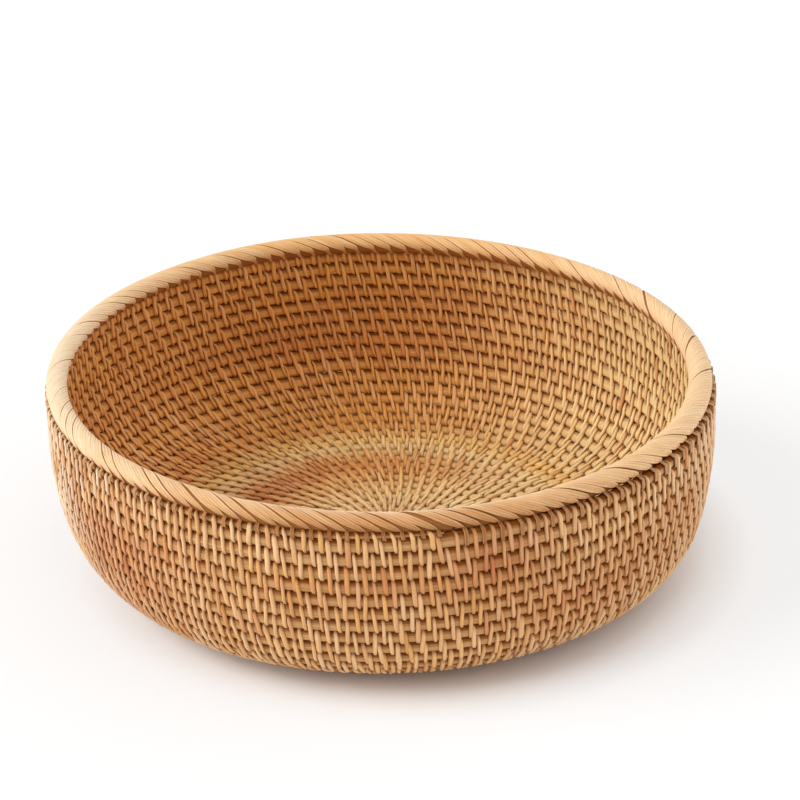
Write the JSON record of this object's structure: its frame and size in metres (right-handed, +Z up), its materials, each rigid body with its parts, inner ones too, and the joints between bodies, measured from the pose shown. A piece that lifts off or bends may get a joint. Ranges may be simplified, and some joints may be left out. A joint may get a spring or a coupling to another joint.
{
  "type": "fruit basket",
  "caption": "Shallow round coiled rattan bowl with a flat floor, curved-in foot, upright side and a pole rim bound with slanting strips; open top for fruit or small goods.",
  "frame": {"origin": "on the table, under the centre of the floor", "axes": "+Z up along the basket's axis, -Y towards the side seen at the front of the picture, +X to its right"},
  "size_m": [0.3024, 0.3024, 0.0965],
  "materials": {
    "coil_cane": "dry peeled rattan core, matt, greyish tan",
    "rim_pole": "peeled rattan pole, matt",
    "binding_strip": "split rattan strip, satin, straw to red-brown"
  },
  "bodies": {
    "root": {"coil_cane_1": "coil_cane", "coil_cane_2": "coil_cane", "coil_cane_3": "coil_cane", "coil_cane_4": "coil_cane", "coil_cane_5": "coil_cane", "coil_cane_6": "coil_cane", "coil_cane_7": "coil_cane", "coil_cane_8": "coil_cane", "rim_pole": "rim_pole", "rim_strip_1": "binding_strip", "rim_strip_2": "binding_strip", "rim_strip_3": "binding_strip", "rim_strip_4": "binding_strip", "rim_strip_5": "binding_strip"}
  },
  "joints": []
}
